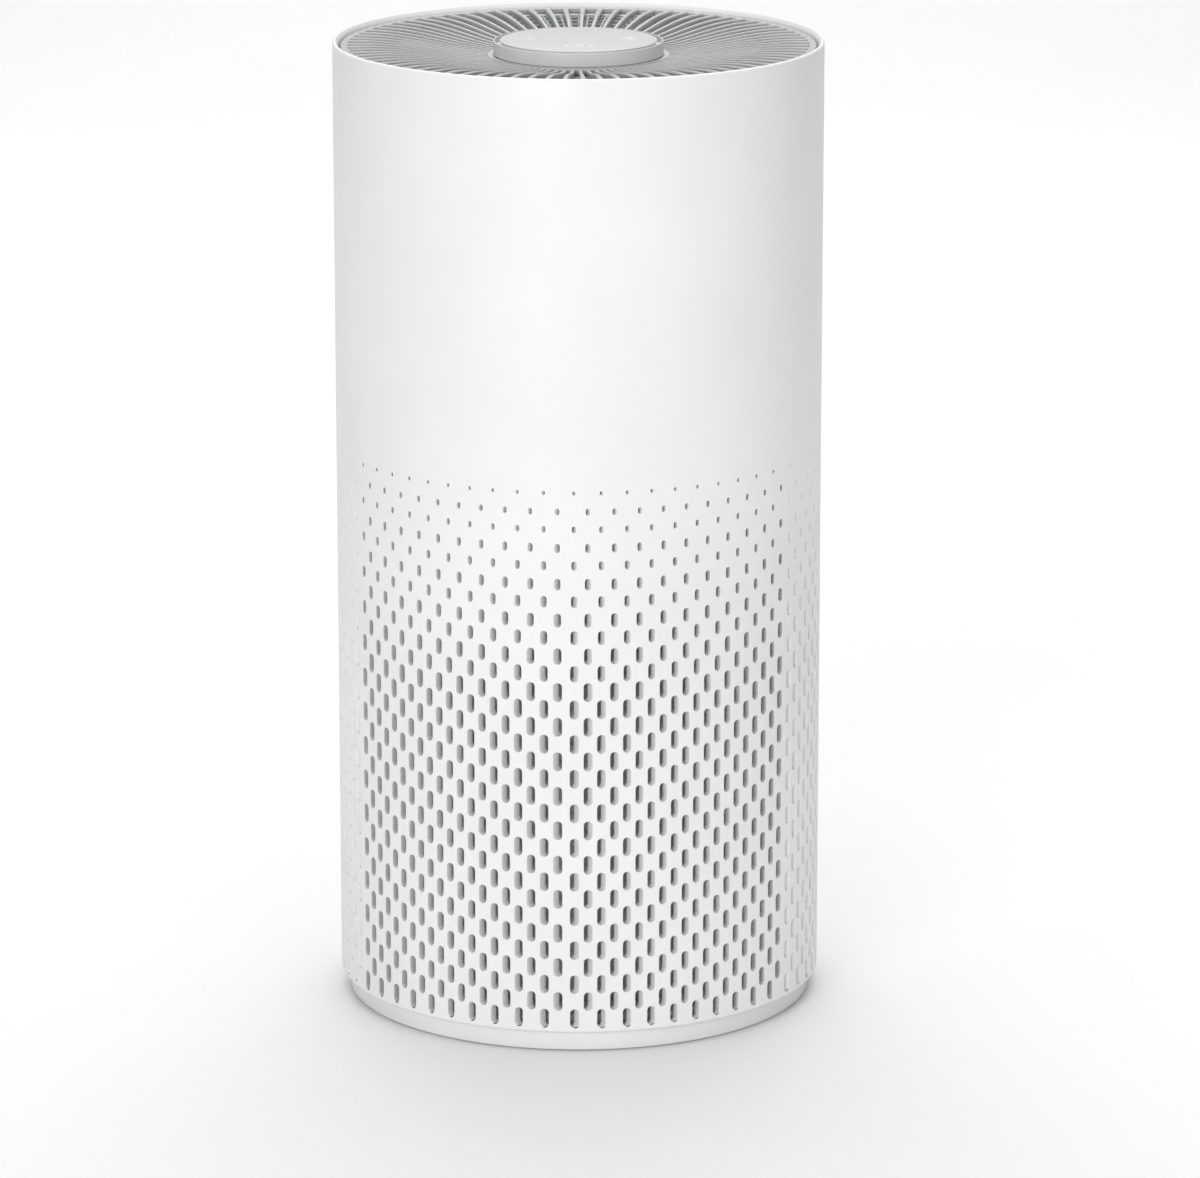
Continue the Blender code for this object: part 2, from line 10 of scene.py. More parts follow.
import bmesh
import bpy
import numpy as np
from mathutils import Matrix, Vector


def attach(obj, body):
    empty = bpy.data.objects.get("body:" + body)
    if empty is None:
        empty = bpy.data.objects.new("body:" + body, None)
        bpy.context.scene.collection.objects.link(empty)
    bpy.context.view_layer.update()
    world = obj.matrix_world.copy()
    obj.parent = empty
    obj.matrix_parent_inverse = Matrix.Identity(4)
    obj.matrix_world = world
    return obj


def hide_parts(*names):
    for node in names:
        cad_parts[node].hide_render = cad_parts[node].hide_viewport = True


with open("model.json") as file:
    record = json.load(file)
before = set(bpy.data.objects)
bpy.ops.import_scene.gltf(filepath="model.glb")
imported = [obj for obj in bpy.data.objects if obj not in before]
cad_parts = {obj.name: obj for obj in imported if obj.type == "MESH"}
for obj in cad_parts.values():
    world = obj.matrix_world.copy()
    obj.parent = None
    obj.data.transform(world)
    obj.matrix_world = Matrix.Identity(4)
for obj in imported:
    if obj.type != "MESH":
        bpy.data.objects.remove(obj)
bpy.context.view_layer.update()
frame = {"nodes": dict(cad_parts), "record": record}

MM = 0.001
TURN = 2 * math.pi

# Shell and base
SHELL_R = 110.0
BASE_R = 105.8
SHELL_WALL = 2.5
GRID_R = 105.8
SHELL_LOW = 9.8
HEIGHT = 440.0
LEDGE_R = 103.5
LEDGE_TOP = 262.9
LIP = 1.2
LIP_SLOPE = 1.1
LIP_DROP = 1.9
LIP_BULGE = 0.8
FOOT_POCKET = 12.33
FOOT_EASE = 0.4

# Air holes: six flat-cored sectors, each with 20 staggered columns of upright capsules that shrink upwards
SECTORS = 6
COLUMNS = 20
FIRST_SEAM = math.radians(-2.83)
SEAM_REACH = math.sin(math.pi / SECTORS)
SEAM_MARGIN = 0.3
COLUMN_PITCH = 5.435
ROW_PITCH = 7.93
ROWS = 31
BOTTOM_ROW = 16.55
FULL_STEPS = 6
HOLE_HEIGHT = (1.65, 1.125)
HOLE_WIDTH = (1.1, 0.37)
HOLE_LIFT = 0.85
HOLE_FILLET = 0.35
SMALL_ROWS = 11
LINES_UP = 2 * ROWS
PLAIN_STEPS = 180

# Power inlet window, at the back
WINDOW_HALF_STEPS = 3
WINDOW_LOW = 270.7
WINDOW_HIGH = 283.3
INLET_HEIGHT = 277.0

# One fold of the filter paper, as (share of its pitch, radius)
PLEAT_FOLD = ((0.0, 91.9), (0.06, 92.6), (0.12, 91.9), (0.5, 59.0), (0.56, 58.2), (0.62, 59.0))

# Top
RIM_INNER = 103.3
RIM_OUTER = 106.4
HUB_OUTER = 40.8
HUB_INNER = 26.0
HUB_TOP = 433.1
RIM_TOP = 438.4
DISH_OUTER = 95.0
FLARE_START = 80.0
VANES = 79
VANE_START = math.radians(1.35)
VANE_DEPTH = 2.6
VANE_FROM = HUB_OUTER - 0.6
VANE_EXTRA = 3.4
VANE_STEP = 0.35
FLARE = 0.45
MESH_HOOPS = 9
MESH_PITCH = 6.8
MESH_WIRES = 144
PUCK_R = 38.0
TRIM_INNER = 38.6

# Stage, light and camera, in metres. A softbox is its name, place, target, size and power.
FLOOR_VALUE = 0.88
SOFTBOXES = [
    ("key", (-1.2, -3.6, 1.2), (0, 0, 0.22), (2.0, 2.0), 66),
    ("key_right", (1.6, -3.4, 1.2), (0, 0, 0.22), (2.0, 2.0), 24),
    ("top", (0, 0.2, 3.0), (0, 0, 0), (3.0, 3.0), 57),
    ("top_back", (0, 2.6, 2.8), (0, 0, 0), (3.0, 2.0), 42),
    ("backdrop", (0, 1.6, 3.6), (0, 4.2, 0.8), (4.0, 1.5), 30),
]
WORLD_STRENGTH = 0.21
CAMERA_PLACE = (0.00963, -2.72011, 0.87228)
CAMERA_TILT = math.radians(90 - 14.147)
CAMERA_LENS = 184.17


# ---------------------------------------------------------------- materials


class Nodes:
    """Short hand for adding linked nodes to one material."""

    def __init__(self, name):
        self.material = bpy.data.materials.new(name)
        self.material.use_nodes = True
        self.tree = self.material.node_tree
        self.shader = self.tree.nodes["Principled BSDF"]
        self.place = self.add("ShaderNodeTexCoord").outputs["Object"]

    def add(self, kind, links=None, **values):
        node = self.tree.nodes.new(kind)
        for key, value in values.items():
            if hasattr(node, key):
                setattr(node, key, value)
            else:
                node.inputs[key.replace("_", " ")].default_value = value
        for key, source in (links or {}).items():
            self.tree.links.new(source, node.inputs[key])
        return node

    def stretched(self, scale):
        return self.add("ShaderNodeMapping", {"Vector": self.place}, Scale=scale).outputs["Vector"]

    def noise(self, scale, detail=3.0, where=None, roughness=0.55):
        made = self.add(
            "ShaderNodeTexNoise", {"Vector": where or self.place}, Scale=scale, Detail=detail,
            Roughness=roughness,
        )
        return made.outputs["Fac"]

    def cells(self, scale, feature="F1", where=None):
        made = self.add("ShaderNodeTexVoronoi", {"Vector": where or self.place}, feature=feature, Scale=scale)
        return made.outputs["Distance"]

    def bands(self, scale, direction, distortion=0.0):
        made = self.add(
            "ShaderNodeTexWave", {"Vector": self.place}, wave_type="BANDS", bands_direction=direction,
            Scale=scale, Distortion=distortion,
        )
        return made.outputs["Fac"]

    def math(self, operation, first, second):
        node = self.add("ShaderNodeMath", {0: first}, operation=operation)
        if isinstance(second, (int, float)):
            node.inputs[1].default_value = second
        else:
            self.tree.links.new(second, node.inputs[1])
        return node.outputs[0]

    def spread(self, source, low, high, source_low=0.3, source_high=0.7):
        node = self.add("ShaderNodeMapRange", {"Value": source})
        for index, value in enumerate((source_low, source_high, low, high), 1):
            node.inputs[index].default_value = value
        return node.outputs["Result"]

    def tints(self, source, dark, light):
        ramp = self.add("ShaderNodeValToRGB", {"Fac": source})
        for element, place, colour in zip(ramp.color_ramp.elements, (0.3, 0.7), (dark, light)):
            element.position = place
            element.color = (*colour, 1)
        return ramp.outputs["Color"]

    def bump(self, height, depth_mm, strength=0.6, under=None):
        links = {"Height": height}
        if under is not None:
            links["Normal"] = under
        return self.add("ShaderNodeBump", links, Strength=strength, Distance=depth_mm * MM).outputs["Normal"]

    def join(self, **sockets):
        for key, source in sockets.items():
            self.tree.links.new(source, self.shader.inputs[key.replace("_", " ")])


def shade(colour, factor):
    return tuple(min(1.0, c * factor) for c in colour)


def moulded(name, colour, roughness, grain=1400, depth=0.02, vary=0.03, coat=0.0):
    """Moulded plastic: spark-eroded grain, faint flow clouds and handling marks in its gloss."""
    made = Nodes(name)
    clouds = made.noise(9, 4)
    marks = made.noise(55, 5, made.stretched((1, 1, 0.35)))
    fine = made.noise(grain, 2)
    pits = made.cells(grain * 0.45)
    made.join(
        Base_Color=made.tints(clouds, shade(colour, 1 - vary), shade(colour, 1 + vary)),
        Roughness=made.spread(marks, roughness - 0.05, roughness + 0.06),
        Normal=made.bump(fine, depth, 0.5, made.bump(pits, depth * 1.6, 0.35)),
    )
    made.shader.inputs["Coat Weight"].default_value = coat
    made.shader.inputs["Coat Roughness"].default_value = 0.25
    return made.material


def rubber(name, colour, roughness):
    made = Nodes(name)
    dust = made.noise(160, 6)
    made.join(
        Base_Color=made.tints(dust, shade(colour, 0.8), shade(colour, 1.5)),
        Roughness=made.spread(made.noise(70, 4), roughness - 0.1, roughness + 0.05),
        Normal=made.bump(made.noise(900, 3), 0.05, 0.5),
    )
    return made.material


def foam(name, colour):
    """Open-cell foam: round pores over a soft skin."""
    made = Nodes(name)
    pores = made.cells(1100)
    pits = made.math("POWER", pores, 0.6)
    made.join(
        Base_Color=made.tints(pores, shade(colour, 0.35), shade(colour, 1.5)),
        Roughness=made.spread(pores, 0.9, 1.0),
        Normal=made.bump(pits, 0.5, 0.9, made.bump(made.noise(60, 3), 0.4, 0.4)),
    )
    return made.material


def fibres(name, colour, scale, depth, vary=0.08):
    """Felted filter fleece: long soft fibres in two directions."""
    made = Nodes(name)
    along = made.noise(scale, 5, made.stretched((1, 1, 0.12)))
    across = made.noise(scale, 5, made.stretched((0.2, 0.2, 1.4)))
    felt = made.math("ADD", along, across)
    made.join(
        Base_Color=made.tints(made.noise(45, 4), shade(colour, 1 - vary), shade(colour, 1 + vary)),
        Roughness=made.spread(felt, 0.82, 0.98, 0.6, 1.4),
        Normal=made.bump(felt, depth, 0.7),
    )
    made.shader.inputs["Sheen Weight"].default_value = 0.15
    return made.material


def woven(name, colour, pitch_mm, vary=0.15):
    """Plain weave: warp and weft threads that pass over each other."""
    made = Nodes(name)
    scale = 0.314 / (pitch_mm * MM)
    warp, weft = made.bands(scale, "X"), made.bands(scale, "Y")
    threads = made.math("MAXIMUM", warp, weft)
    made.join(
        Base_Color=made.tints(threads, shade(colour, 1 - 2 * vary), shade(colour, 1 + vary)),
        Roughness=made.spread(made.noise(300, 3), 0.7, 0.9),
        Normal=made.bump(threads, 0.12, 0.8, made.bump(made.noise(2500, 2), 0.03, 0.5)),
    )
    made.shader.inputs["Sheen Weight"].default_value = 0.3
    return made.material


def granules(name, colour, size_mm):
    """Bonded carbon granules."""
    made = Nodes(name)
    grit = made.cells(1 / (size_mm * MM))
    made.join(
        Base_Color=made.tints(grit, shade(colour, 0.5), shade(colour, 2.6)),
        Roughness=made.spread(made.noise(800, 2), 0.55, 0.95),
        Normal=made.bump(grit, 0.6, 0.9),
    )
    return made.material


def metal(name, colour, roughness, stretch=(1, 1, 30), scale=300, depth=0.008):
    """Turned, drawn or stamped metal: fine directional lines and slight staining."""
    made = Nodes(name)
    lines = made.noise(scale, 4, made.stretched(stretch))
    made.join(
        Base_Color=made.tints(made.noise(90, 4), shade(colour, 0.86), shade(colour, 1.08)),
        Roughness=made.spread(lines, roughness - 0.08, roughness + 0.1),
        Normal=made.bump(lines, depth, 0.5),
    )
    made.shader.inputs["Metallic"].default_value = 1.0
    return made.material


def laminated(name, colour):
    """Stacked stator sheets: 0.5 mm layers seen on edge."""
    made = Nodes(name)
    layers = made.bands(0.314 / (0.5 * MM), "Z", 0.2)
    made.join(
        Base_Color=made.tints(layers, shade(colour, 0.6), shade(colour, 1.1)),
        Roughness=made.spread(made.noise(200, 3), 0.4, 0.65),
        Normal=made.bump(layers, 0.1, 0.7),
    )
    made.shader.inputs["Metallic"].default_value = 1.0
    return made.material


def wound(name, colour):
    """Enamelled copper wire lying turn beside turn."""
    made = Nodes(name)
    turns = made.bands(0.314 / (0.6 * MM), "Z", 0.6)
    made.join(
        Base_Color=made.tints(turns, shade(colour, 0.45), shade(colour, 1.1)),
        Roughness=made.spread(made.noise(240, 3), 0.22, 0.4),
        Normal=made.bump(turns, 0.25, 0.9),
    )
    made.shader.inputs["Metallic"].default_value = 1.0
    made.shader.inputs["Coat Weight"].default_value = 0.4
    return made.material


def board(name, colour):
    """Solder mask over copper tracks."""
    made = Nodes(name)
    brick = made.add("ShaderNodeTexBrick", {"Vector": made.stretched((1, 1, 1))}, Scale=90, Mortar_Size=0.012)
    tracks = brick.outputs["Fac"]
    made.join(
        Base_Color=made.tints(tracks, shade(colour, 0.8), shade(colour, 1.9)),
        Roughness=made.spread(made.noise(120, 3), 0.3, 0.5),
        Normal=made.bump(tracks, 0.04, 0.6),
    )
    made.shader.inputs["Coat Weight"].default_value = 0.3
    return made.material


FINISH = {
    "shell_white": moulded("shell_white", (0.83, 0.83, 0.83), 0.42),
    "base_white": moulded("base_white", (0.80, 0.80, 0.80), 0.5),
    "grille_white": moulded("grille_white", (0.45, 0.455, 0.455), 0.3),
    "puck_grey": moulded("puck_grey", (0.70, 0.70, 0.70), 0.42),
    "lens_grey": moulded("lens_grey", (0.55, 0.55, 0.555), 0.34, depth=0.008, vary=0.015, coat=0.2),
    "light_guide": moulded("light_guide", (0.93, 0.93, 0.92), 0.35, depth=0.006, vary=0.01),
    "inner_white": moulded("inner_white", (0.54, 0.55, 0.55), 0.58, grain=900, depth=0.03, vary=0.05),
    "dark_plastic": moulded("dark_plastic", (0.055, 0.057, 0.06), 0.5, grain=900, depth=0.03, vary=0.15),
    "foot_rubber": rubber("foot_rubber", (0.09, 0.09, 0.09), 0.85),
    "seal_foam": foam("seal_foam", (0.07, 0.07, 0.075)),
    "filter_paper": fibres("filter_paper", (0.80, 0.80, 0.77), 700, 0.12),
    "prefilter_net": fibres("prefilter_net", (0.61, 0.615, 0.62), 900, 0.15, 0.07),
    "carbon": granules("carbon", (0.03, 0.03, 0.032), 1.1),
    "ribbon": woven("ribbon", (0.12, 0.27, 0.52), 0.7),
    "steel": metal("steel", (0.62, 0.62, 0.63), 0.3),
    "dark_steel": metal("dark_steel", (0.2, 0.2, 0.21), 0.42),
    "stator_iron": laminated("stator_iron", (0.3, 0.29, 0.28)),
    "magnet": rubber("magnet", (0.075, 0.075, 0.08), 0.6),
    "copper": wound("copper", (0.72, 0.36, 0.18)),
    "pin_brass": metal("pin_brass", (0.75, 0.62, 0.35), 0.24, (1, 30, 1)),
    "circuit_board": board("circuit_board", (0.03, 0.22, 0.1)),
    "cable_jacket": rubber("cable_jacket", (0.45, 0.45, 0.45), 0.6),
}


# ---------------------------------------------------------------- makers of (points, faces)


def joined(*parts):
    points, faces = [], []
    for more_points, more_faces in parts:
        start = len(points)
        points += list(more_points)
        faces += [tuple(start + index for index in face) for face in more_faces]
    return points, faces


def eased(outline, radius, steps=3, closed=True):
    """The outline with its corners rounded. radius is one number or one for each corner."""
    count = len(outline)
    radii = [radius] * count if isinstance(radius, (int, float)) else radius
    made = []
    for index, (corner, ease) in enumerate(zip(outline, radii)):
        if ease <= 0 or (not closed and index in (0, count - 1)):
            made.append(corner)
            continue
        here = np.array(corner, float)
        ends = []
        for other in (outline[index - 1], outline[(index + 1) % count]):
            way = np.array(other, float) - here
            length = np.linalg.norm(way)
            ends.append(here + way / length * min(ease, length * 0.45))
        for step in range(steps + 1):
            t = step / steps
            made.append(tuple((1 - t) ** 2 * ends[0] + 2 * t * (1 - t) * here + t**2 * ends[1]))
    return made


def lathe(outline, steps=96, centre=(0, 0), start=0.0):
    """A closed outline of (radius, height) turned about an upright axis. Points with radius 0 are poles."""
    points, rings = [], []
    for radius, height in outline:
        if radius <= 1e-9:
            rings.append([len(points)] * steps)
            points.append((centre[0], centre[1], height))
            continue
        rings.append(range(len(points), len(points) + steps))
        for step in range(steps):
            angle = start + TURN * step / steps
            x, y = polar(radius, angle)
            points.append((centre[0] + x, centre[1] + y, height))
    faces = []
    for low, high in zip(rings, [*rings[1:], rings[0]]):
        for step in range(steps):
            after = (step + 1) % steps
            face = list(dict.fromkeys((low[step], low[after], high[after], high[step])))
            if len(face) > 2:
                faces.append(tuple(face))
    return points, faces


def prism(outline, low, high, ease=0.0):
    """An upright prism, with its top and bottom edges eased inwards."""
    middle = np.mean(np.array(outline, float), axis=0)
    size = max(np.linalg.norm(np.array(p) - middle) for p in outline)
    inset = [tuple(middle + (np.array(p) - middle) * (1 - ease / size)) for p in outline]
    levels = [(outline, low), (outline, high)]
    if ease:
        levels = [(inset, low), (outline, low + ease), (outline, high - ease), (inset, high)]
    points = [(x, y, z) for ring, z in levels for x, y in ring]
    count = len(outline)
    faces = [tuple(range(count))[::-1], tuple(range(len(points) - count, len(points)))]
    for level in range(len(levels) - 1):
        for step in range(count):
            after = (step + 1) % count
            base = level * count
            faces.append((base + step, base + after, base + count + after, base + count + step))
    return points, faces


def rounded_box(size, centre, ease=0.4, turn=0.0):
    """A box with eased edges, turned about the Z axis of the whole object."""
    x, y, z = (s / 2 for s in size)
    outline = eased([(-x, -y), (x, -y), (x, y), (-x, y)], ease, 2)
    points, faces = prism(outline, -z, z, min(ease, z * 0.8))
    cos, sin = math.cos(turn), math.sin(turn)
    placed = []
    for px, py, pz in points:
        px, py = px + centre[0], py + centre[1]
        placed.append((px * cos - py * sin, px * sin + py * cos, pz + centre[2]))
    return placed, faces


def tube(path, radius, sides=8, closed=False, flat=1.0):
    """A round bar along a path. flat squeezes it in height."""
    path = np.array(path, float)
    count = len(path)
    points, faces = [], []
    for index, here in enumerate(path):
        before = path[index - 1] if index or closed else here
        after = path[(index + 1) % count] if index < count - 1 or closed else here
        way = after - before
        way /= np.linalg.norm(way)
        side = np.cross(way, (0, 0, 1))
        side = side / np.linalg.norm(side) if np.linalg.norm(side) > 1e-6 else np.array((1.0, 0, 0))
        up = np.cross(side, way)
        for step in range(sides):
            angle = TURN * (step + 0.5) / sides
            points.append(tuple(here + radius * (side * math.cos(angle) + up * math.sin(angle) * flat)))
    for index in range(count if closed else count - 1):
        near, far = index * sides, (index + 1) % count * sides
        for step in range(sides):
            after = (step + 1) % sides
            faces.append((near + step, far + step, far + after, near + after))
    if not closed:
        faces.append(tuple(range(sides)))
        faces.append(tuple(range((count - 1) * sides, count * sides))[::-1])
    return points, faces


def ring_path(radius, height, steps=96):
    return [polar(radius, TURN * step / steps, height) for step in range(steps)]


def loft(sections, closed_section=True):
    """Joins sections of equal point count with quads and caps the two ends."""
    count = len(sections[0])
    points = [p for section in sections for p in section]
    faces = [tuple(range(count)), tuple(range(len(points) - count, len(points)))[::-1]]
    for level in range(len(sections) - 1):
        for step in range(count):
            after = (step + 1) % count
            base = level * count
            faces.append((base + step, base + count + step, base + count + after, base + after))
    return points, faces


def piece(name, shape, slot, body, replaces=(), sharp_deg=35):
    """Makes the object, in metres, with its finish, on its CAD body and in place of its CAD nodes."""
    points, faces = shape
    mesh = bpy.data.meshes.new(name)
    mesh.from_pydata((np.array(points, float) * MM).tolist(), [], faces)
    mesh.validate()
    solid = bmesh.new()
    solid.from_mesh(mesh)
    bmesh.ops.recalc_face_normals(solid, faces=solid.faces)
    solid.to_mesh(mesh)
    solid.free()
    mesh.shade_smooth()
    mesh.set_sharp_from_angle(angle=math.radians(sharp_deg))
    made = bpy.data.objects.new(name, mesh)
    bpy.context.scene.collection.objects.link(made)
    mesh.materials.append(FINISH[slot])
    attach(made, body)
    if replaces:
        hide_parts(*replaces)
    return made


def around(count, start_deg=0.0):
    return [math.radians(start_deg) + TURN * step / count for step in range(count)]


def polar(radius, angle, height=None):
    flat = (radius * math.cos(angle), radius * math.sin(angle))
    return flat if height is None else (*flat, height)


# ---------------------------------------------------------------- shell


class Shell:
    """Collects the shell's faces together with the normal of each face corner."""

    def __init__(self):
        self.points, self.normals = [], []
        self.faces, self.corners = [], []

    def vertex(self, point):
        self.points.append(point)
        return len(self.points) - 1

    def face(self, indices, normals):
        self.faces.append(indices)
        self.corners += normals

    def zip(self, outside, inside):
        """Triangles between two closed loops that turn the same way. Items are (turn, index, normal)."""
        outside, inside = sorted(outside), sorted(inside)
        many, few = len(outside), len(inside)
        i = j = 0
        while i < many or j < few:
            here, there = outside[i % many], inside[j % few]
            next_out, next_in = outside[(i + 1) % many], inside[(j + 1) % few]
            turn_out = next_out[0] + TURN * ((i + 1) // many)
            turn_in = next_in[0] + TURN * ((j + 1) // few)
            if j >= few or (i < many and turn_out <= turn_in):
                corners = (here, next_out, there)
                i += 1
            else:
                corners = (here, next_in, there)
                j += 1
            self.face(tuple(c[1] for c in corners), [c[2] for c in corners])

    def strip(self, low, high, low_normals, high_normals, skip=()):
        """Quads between two rings of equal count, facing right of the way up on an anticlockwise ring."""
        count = len(low)
        for step in range(count):
            if step in skip:
                continue
            after = (step + 1) % count
            self.face(
                (low[step], low[after], high[after], high[step]),
                [low_normals[step], low_normals[after], high_normals[after], high_normals[step]],
            )


def outward(angle):
    return (math.sin(angle), -math.cos(angle), 0.0)


def capsule(half_width, half_height, arc):
    """Anticlockwise outline of an upright capsule, as (across, up, across normal, up normal)."""
    lift = max(half_height - half_width, 0)
    made = []
    for start, centre in ((math.pi, -lift), (0, lift)):
        for step in range(arc):
            angle = start + math.pi * step / (arc - 1)
            cos, sin = math.cos(angle), math.sin(angle)
            made.append((half_width * cos, centre + half_width * sin, cos, sin))
    return made


def line_angle(line, radius):
    """Angle of a boundary between two hole columns. Sector ends lie on the seams."""
    sector, column = divmod(line, COLUMNS)
    seam = FIRST_SEAM + sector * TURN / SECTORS
    if column == 0:
        return seam
    return seam + math.pi / SECTORS + math.asin((column - COLUMNS / 2) * COLUMN_PITCH / radius)


def outer_level(line):
    return max(BOTTOM_ROW + line * ROW_PITCH / 2, SHELL_LOW + LIP + 0.5)


def inner_level(line):
    level = BOTTOM_ROW + line * ROW_PITCH / 2
    return max(min(level, LEDGE_TOP - 3 - 0.8 * (LINES_UP - line)), FOOT_POCKET + 0.15 * (line + 2))


def lattice(shell, radius, level, facing):
    """The grid of column boundaries on one face of the wall, as index by (line, step up)."""
    made = {}
    for line in range(SECTORS * COLUMNS):
        angle = line_angle(line, radius)
        out = outward(angle)
        for up in range(-2, LINES_UP + 1):
            point = (radius * out[0], radius * out[1], level(up))
            made[line, up] = (shell.vertex(point), tuple(facing * c for c in out))
    return made


def on_sector(out, across, offset, height, radius):
    """Point on a sector, at an offset across it and a distance from the axis."""
    depth = math.sqrt(radius**2 - offset**2)
    return (depth * out[0] + offset * across[0], depth * out[1] + offset * across[1], height)


def grid_place(number, left, up, radius, level):
    """Place of a lattice point on its sector laid flat, as (across, up)."""
    if number % COLUMNS == 0:
        return (radius * SEAM_REACH * (-1 if left else 1), level(up))
    return ((number % COLUMNS - COLUMNS / 2) * COLUMN_PITCH, level(up))


def bearing(where, centre, height):
    """Direction from the middle of a hole to a flat place, from 0 to a full turn."""
    return math.atan2(where[1] - height, where[0] - centre) % TURN


def perforate(shell):
    """Fills the lattice with holed cells and plain ends. Returns the lattices of both faces of the wall."""
    faces = [
        (lattice(shell, SHELL_R, outer_level, 1), SHELL_R, outer_level),
        (lattice(shell, GRID_R, inner_level, -1), GRID_R, inner_level),
    ]
    lines = SECTORS * COLUMNS
    limit = GRID_R * SEAM_REACH - SEAM_MARGIN
    for line in range(lines):
        sector, column = divmod(line, COLUMNS)
        after = (line + 1) % lines
        middle_angle = FIRST_SEAM + (sector + 0.5) * TURN / SECTORS
        out, across = outward(middle_angle), (math.cos(middle_angle), math.sin(middle_angle))
        centre = (column - (COLUMNS - 1) / 2) * COLUMN_PITCH

        for up in range(0 if column % 2 == 0 else 2, LINES_UP - 1, 4):
            row = ROWS - 1 - up // 2
            size = min(math.ceil(row / 2), FULL_STEPS)
            half_height = (HOLE_HEIGHT[0] + HOLE_HEIGHT[1] * size) / 2
            half_width = (HOLE_WIDTH[0] + HOLE_WIDTH[1] * size) / 2
            arc = 5 if row < SMALL_ROWS else 7
            lift = HOLE_LIFT * (HOLE_HEIGHT[0] + HOLE_HEIGHT[1] * FULL_STEPS - 2 * half_height) / 2
            height = BOTTOM_ROW + up * ROW_PITCH / 2 + lift
            rings = []
            for radius, grow in ((SHELL_R, HOLE_FILLET), (SHELL_R - HOLE_FILLET, 0), (GRID_R, 0)):
                ring = []
                for x, z, nx, nz in capsule(half_width + grow, half_height + grow, arc):
                    offset = max(-limit, min(limit, centre + x)) if radius == GRID_R else centre + x
                    point = on_sector(out, across, offset, height + z, radius)
                    into = (-nx * across[0], -nx * across[1], -nz)
                    length = math.hypot(point[0], point[1])
                    radial = (point[0] / length, point[1] / length, 0.0)
                    ring.append((shell.vertex(point), (offset, height + z), into, radial))
                rings.append(ring)
            surface, throat, back = rings
            for upper, lower, top_normal in ((surface, throat, 3), (throat, back, 2)):
                count = len(upper)
                for step in range(count):
                    following = (step + 1) % count
                    a, b, c, d = upper[step], upper[following], lower[following], lower[step]
                    shell.face((a[0], b[0], c[0], d[0]), [a[top_normal], b[top_normal], c[2], d[2]])
            for grid, radius, level in faces:
                loop = []
                for number in (line, after):
                    for place in range(up - 2, up + 3):
                        index, normal = grid[number, place]
                        where = grid_place(number, number == line, place, radius, level)
                        loop.append((bearing(where, centre, height), index, normal))
                ring = surface if radius == SHELL_R else back
                sign = 1 if radius == SHELL_R else -1
                inner = [
                    (bearing(where, centre, height), index, tuple(sign * c for c in radial))
                    for index, where, into, radial in ring
                ]
                start = len(shell.faces)
                marks = len(shell.corners)
                shell.zip(loop, inner)
                if sign < 0:
                    shell.faces[start:] = [face[::-1] for face in shell.faces[start:]]
                    tail = shell.corners[marks:]
                    spots = [k + 2 - m for k in range(0, len(tail), 3) for m in range(3)]
                    shell.corners[marks:] = [tail[spot] for spot in spots]
        if column % 2:
            for grid, radius, level in faces:
                for up in (-2, -1, LINES_UP - 2, LINES_UP - 1):
                    corners = [grid[line, up], grid[after, up], grid[after, up + 1], grid[line, up + 1]]
                    if radius != SHELL_R:
                        corners.reverse()
                    shell.face(tuple(c[0] for c in corners), [c[1] for c in corners])
    return faces[0][0], faces[1][0]


def outline_normals(outline):
    """For each stretch of an open outline, the normal at its start and end, smooth over gentle corners."""
    plain = []
    for (r1, z1), (r2, z2) in zip(outline, outline[1:]):
        length = math.hypot(r2 - r1, z2 - z1)
        plain.append(((z2 - z1) / length, -(r2 - r1) / length))
    made = []
    for index, (nr, nz) in enumerate(plain):
        ends = []
        for other in (index - 1, index + 1):
            if 0 <= other < len(plain) and nr * plain[other][0] + nz * plain[other][1] > 0.7:
                blend = np.array((nr + plain[other][0], nz + plain[other][1]))
                ends.append(tuple(blend / np.linalg.norm(blend)))
            else:
                ends.append((nr, nz))
        made.append(ends)
    return made


def turned_normals(angles, normal):
    return [(math.sin(a) * normal[0], -math.cos(a) * normal[0], normal[1]) for a in angles]


def turned_ring(shell, angles, radius, height):
    return [shell.vertex((radius * math.sin(a), -radius * math.cos(a), height)) for a in angles]


def band_between(shell, low_ring, low_angles, low_at, high_ring, high_angles, high_at):
    """Triangles between two rings of different count. at is (radius, height); the low ring is met first."""
    span = (high_at[0] - low_at[0], high_at[1] - low_at[1])
    length = math.hypot(*span)
    normal = (span[1] / length, -span[0] / length)

    def loop(ring, angles):
        return [(a % TURN, index, n) for a, index, n in zip(angles, ring, turned_normals(angles, normal))]

    shell.zip(loop(low_ring, low_angles), loop(high_ring, high_angles))


